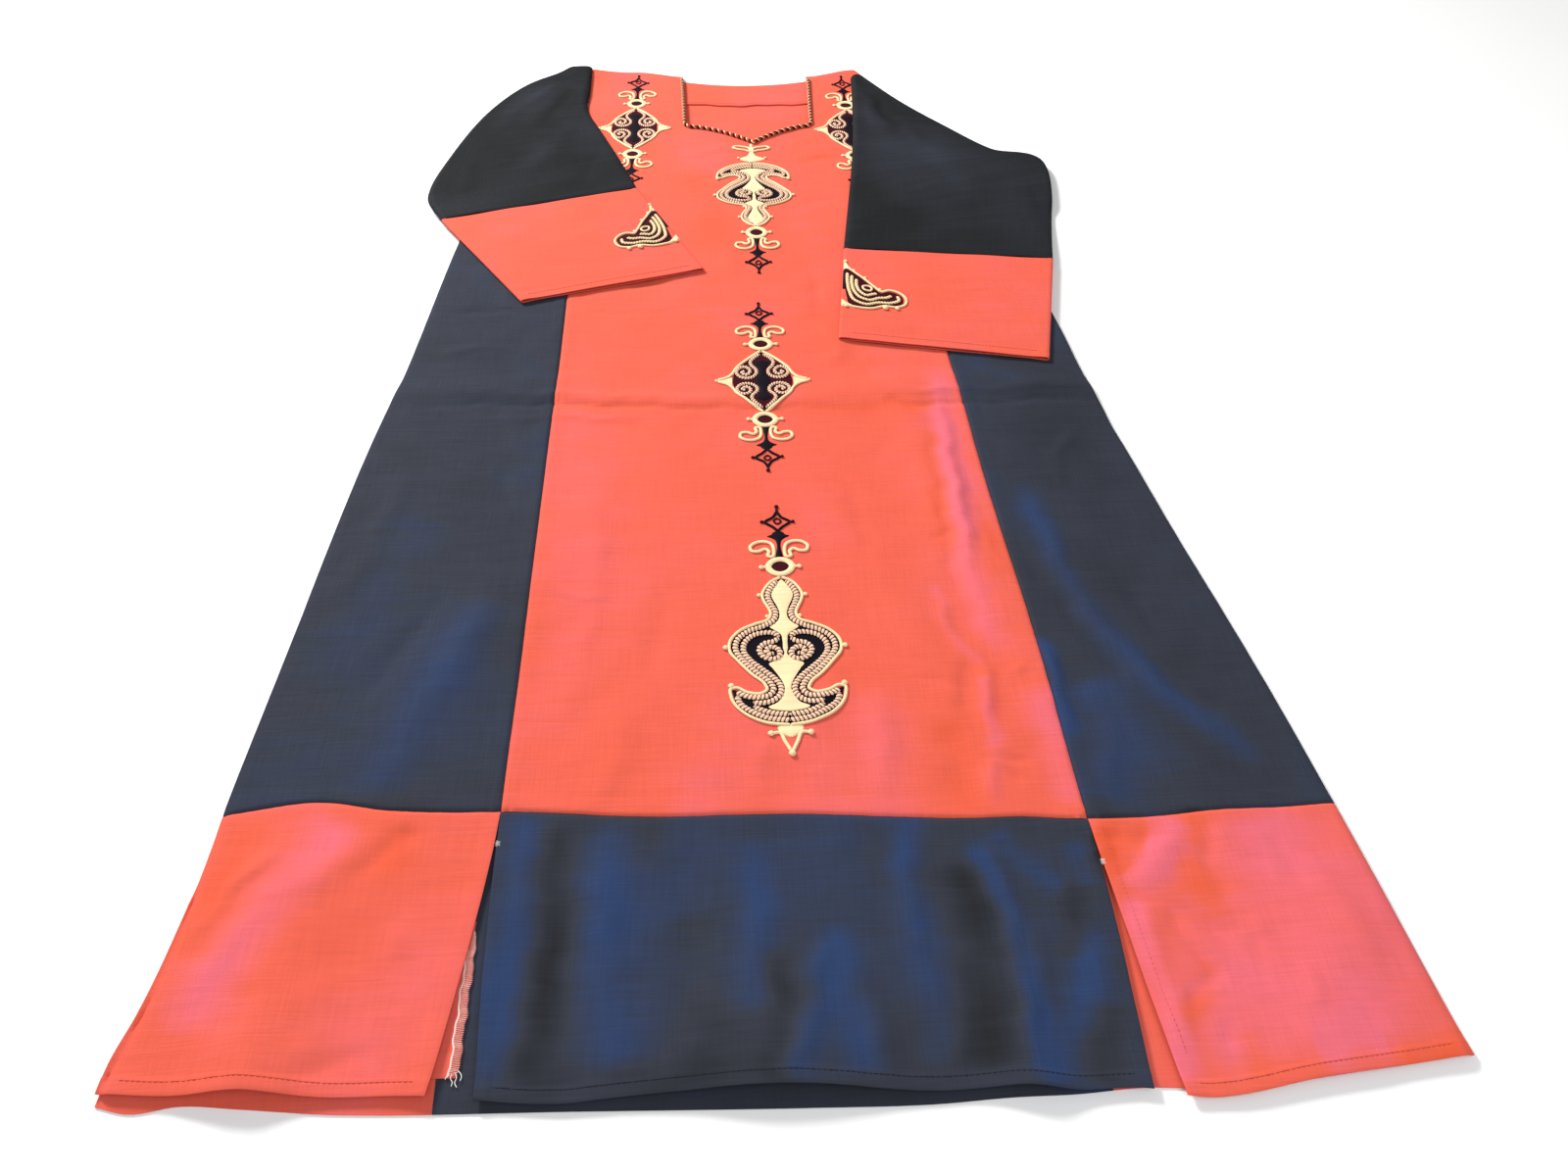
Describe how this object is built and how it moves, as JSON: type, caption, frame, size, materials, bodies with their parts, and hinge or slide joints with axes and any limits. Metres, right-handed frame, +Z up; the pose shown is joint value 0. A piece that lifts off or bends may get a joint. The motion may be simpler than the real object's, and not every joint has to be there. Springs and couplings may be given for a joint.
{
  "type": "robe",
  "caption": "Long two-colour robe laid flat with both sleeves folded over the front, a slit hem band, square pointed neck and embroidered medallions.",
  "frame": {"origin": "bottom centre of the box round the robe as it lies", "axes": "+Z up from the surface it lies on, +Y from the hem towards the neck, +X towards the right of someone who looks from the hem to the neck"},
  "size_m": [0.8022, 1.3934, 0.0165],
  "materials": {
    "coral_cotton": "plain weave with a soft sheen",
    "navy_cotton": "plain weave with a soft sheen",
    "cream_thread": "satin stitch",
    "cord_thread": "twisted cord"
  },
  "bodies": {
    "root": {"front_panel": "coral_cotton", "front_side_left": "navy_cotton", "front_side_right": "navy_cotton", "front_band": "navy_cotton", "front_band_left": "coral_cotton", "front_band_right": "coral_cotton", "back_panel": "coral_cotton", "back_side_left": "navy_cotton", "back_side_right": "navy_cotton", "back_band": "navy_cotton", "back_band_left": "coral_cotton", "back_band_right": "coral_cotton", "neck_facing": "coral_cotton", "sleeve_left": "navy_cotton", "sleeve_right": "navy_cotton", "sleeve_left_under": "navy_cotton", "sleeve_right_under": "navy_cotton", "cuff_left": "coral_cotton", "cuff_left_under": "coral_cotton", "cuff_right": "coral_cotton", "cuff_right_under": "coral_cotton", "neck_cord": "cord_thread", "medallion_neck": "cream_thread", "medallion_middle": "cream_thread", "medallion_hem": "cream_thread"}
  },
  "joints": []
}
